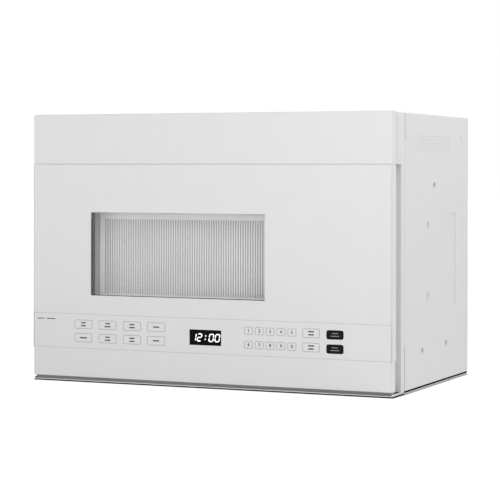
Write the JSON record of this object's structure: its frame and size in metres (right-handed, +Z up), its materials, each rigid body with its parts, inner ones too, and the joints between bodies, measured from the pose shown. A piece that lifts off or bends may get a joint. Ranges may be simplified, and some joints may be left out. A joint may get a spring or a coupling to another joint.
{
  "type": "over the range microwave",
  "caption": "White over the range microwave with a side-hinged door, window, touch strip, turntable, vent blower and grease filters.",
  "frame": {"origin": "middle of the body's width and depth, on the underside of the base", "axes": "+X to the right seen from the front, +Y towards the wall behind, +Z up"},
  "size_m": [0.606, 0.37, 0.422],
  "materials": {
    "white_paint": "white powder coat",
    "white_plastic": "glossy white moulding",
    "cavity_paint": "light grey enamel",
    "galvanised": "zinc coat, dull",
    "bright_steel": "plain",
    "core_steel": "laminated, varnished",
    "aluminium": "plain",
    "filter_mesh": "layered mesh, matt",
    "black_plastic": "matt",
    "grey_plastic": "matt",
    "black_rubber": "matt",
    "clear_glass": "clear",
    "film": "slightly frosted",
    "display": "smoked",
    "board": "solder-resist green",
    "mica": "satin"
  },
  "bodies": {
    "housing": {"base_plate": "galvanised", "front_frame": "white_paint", "side_panel_left": "white_paint", "side_panel_right": "white_paint", "top_panel": "galvanised", "cabinet_bolt_brackets": "galvanised", "cord_gland": "black_plastic", "rear_panel": "galvanised", "chassis_floor": "galvanised", "vent_fascia": "white_plastic", "charcoal_filter": "black_plastic", "cooktop_lamp": "clear_glass", "oven_cavity": "cavity_paint", "cavity_lamp": "galvanised", "thermal_cutout": "black_plastic", "waveguide": "galvanised", "waveguide_cover": "mica", "magnetron": "aluminium", "hv_transformer": "core_steel", "hv_capacitor": "aluminium", "power_board": "board", "cooling_fan_shroud": "galvanised", "cooling_fan_motor": "core_steel", "blower_scroll_left": "galvanised", "blower_scroll_right": "galvanised", "blower_motor": "core_steel", "turntable_motor": "galvanised", "hinge_upper": "bright_steel", "hinge_lower": "bright_steel", "interlock_bracket": "black_plastic", "door_switches": "black_plastic", "case_screws": "bright_steel"},
    "door": {"door_frame": "white_plastic", "window_glass": "clear_glass", "window_gasket": "black_rubber", "choke_panel": "cavity_paint", "door_back_cover": "grey_plastic", "choke_cover": "grey_plastic", "inner_window": "film", "control_strip": "white_plastic", "display_module": "display", "control_board": "board", "lower_trim": "white_plastic", "door_hinge_plates": "bright_steel", "hinge_bushes": "black_plastic", "latch_spring": "bright_steel"},
    "latch": {"latch_lever": "black_plastic"},
    "coupler": {"drive_coupler": "grey_plastic"},
    "tray": {"glass_tray": "clear_glass"},
    "ring": {"roller_ring": "grey_plastic"},
    "roller_1": {"ring_roller_1": "grey_plastic"},
    "roller_2": {"ring_roller_2": "grey_plastic"},
    "roller_3": {"ring_roller_3": "grey_plastic"},
    "vent_blower": {"blower_shaft": "bright_steel", "blower_wheel_left": "black_plastic", "blower_wheel_right": "black_plastic"},
    "cooling_fan": {"cooling_fan_rotor": "black_plastic"},
    "left_filter": {"grease_filter_left": "filter_mesh"},
    "right_filter": {"grease_filter_right": "filter_mesh"},
    "lamp_lid": {"lamp_cover": "film"}
  },
  "joints": [
    {"name": "door_hinge", "type": "hinge", "parent": "housing", "child": "door", "pos_m": [-0.289, -0.165, 0.175], "axis": [0, 0, -1], "range_deg": [0, 100]},
    {"name": "latch_slide", "type": "slide", "parent": "door", "child": "latch", "axis": [0, 0, 1], "range_m": [0, 0.005], "stiffness_N_per_m": 300, "springref_m": -0.006, "deforming": ["latch_spring"]},
    {"name": "turntable_spin", "type": "hinge", "parent": "housing", "child": "coupler", "pos_m": [-0.05, 0.0036, 0.09], "axis": [0, 0, 1], "continuous": true},
    {"name": "tray_lift", "type": "slide", "parent": "coupler", "child": "tray", "axis": [0, 0, 1], "range_m": [0, 0.02]},
    {"name": "roller_ring_spin", "type": "hinge", "parent": "housing", "child": "ring", "pos_m": [-0.05, 0.0036, 0.0982], "axis": [0, 0, 1], "continuous": true},
    {"name": "roller_1_spin", "type": "hinge", "parent": "ring", "child": "roller_1", "pos_m": [0.038, 0.0036, 0.0982], "axis": [1, 0, 0], "continuous": true},
    {"name": "roller_2_spin", "type": "hinge", "parent": "ring", "child": "roller_2", "pos_m": [-0.094, 0.07981, 0.0982], "axis": [-0.5, 0.866, 0], "continuous": true},
    {"name": "roller_3_spin", "type": "hinge", "parent": "ring", "child": "roller_3", "pos_m": [-0.094, -0.07261, 0.0982], "axis": [-0.5, -0.866, 0], "continuous": true},
    {"name": "vent_blower_spin", "type": "hinge", "parent": "housing", "child": "vent_blower", "pos_m": [0, 0.105, 0.367], "axis": [1, 0, 0], "continuous": true},
    {"name": "cooling_fan_spin", "type": "hinge", "parent": "housing", "child": "cooling_fan", "pos_m": [0.214, 0.14, 0.265], "axis": [0, 1, 0], "continuous": true},
    {"name": "left_filter_tilt", "type": "hinge", "parent": "housing", "child": "left_filter", "pos_m": [-0.2215, 0.159, 0.0004], "axis": [1, 0, 0], "range_deg": [0, 75]},
    {"name": "right_filter_tilt", "type": "hinge", "parent": "housing", "child": "right_filter", "pos_m": [0.2215, 0.159, 0.0004], "axis": [1, 0, 0], "range_deg": [0, 75]},
    {"name": "lamp_cover_tilt", "type": "hinge", "parent": "housing", "child": "lamp_lid", "pos_m": [0, -0.0566, 0.002], "axis": [1, 0, 0], "range_deg": [0, 75]}
  ],
  "couplings": [
    {"joint": "roller_ring_spin", "follows": "turntable_spin", "ratio": 0.5},
    {"joint": "roller_1_spin", "follows": "turntable_spin", "ratio": -5.5},
    {"joint": "roller_2_spin", "follows": "turntable_spin", "ratio": -5.5},
    {"joint": "roller_3_spin", "follows": "turntable_spin", "ratio": -5.5}
  ]
}
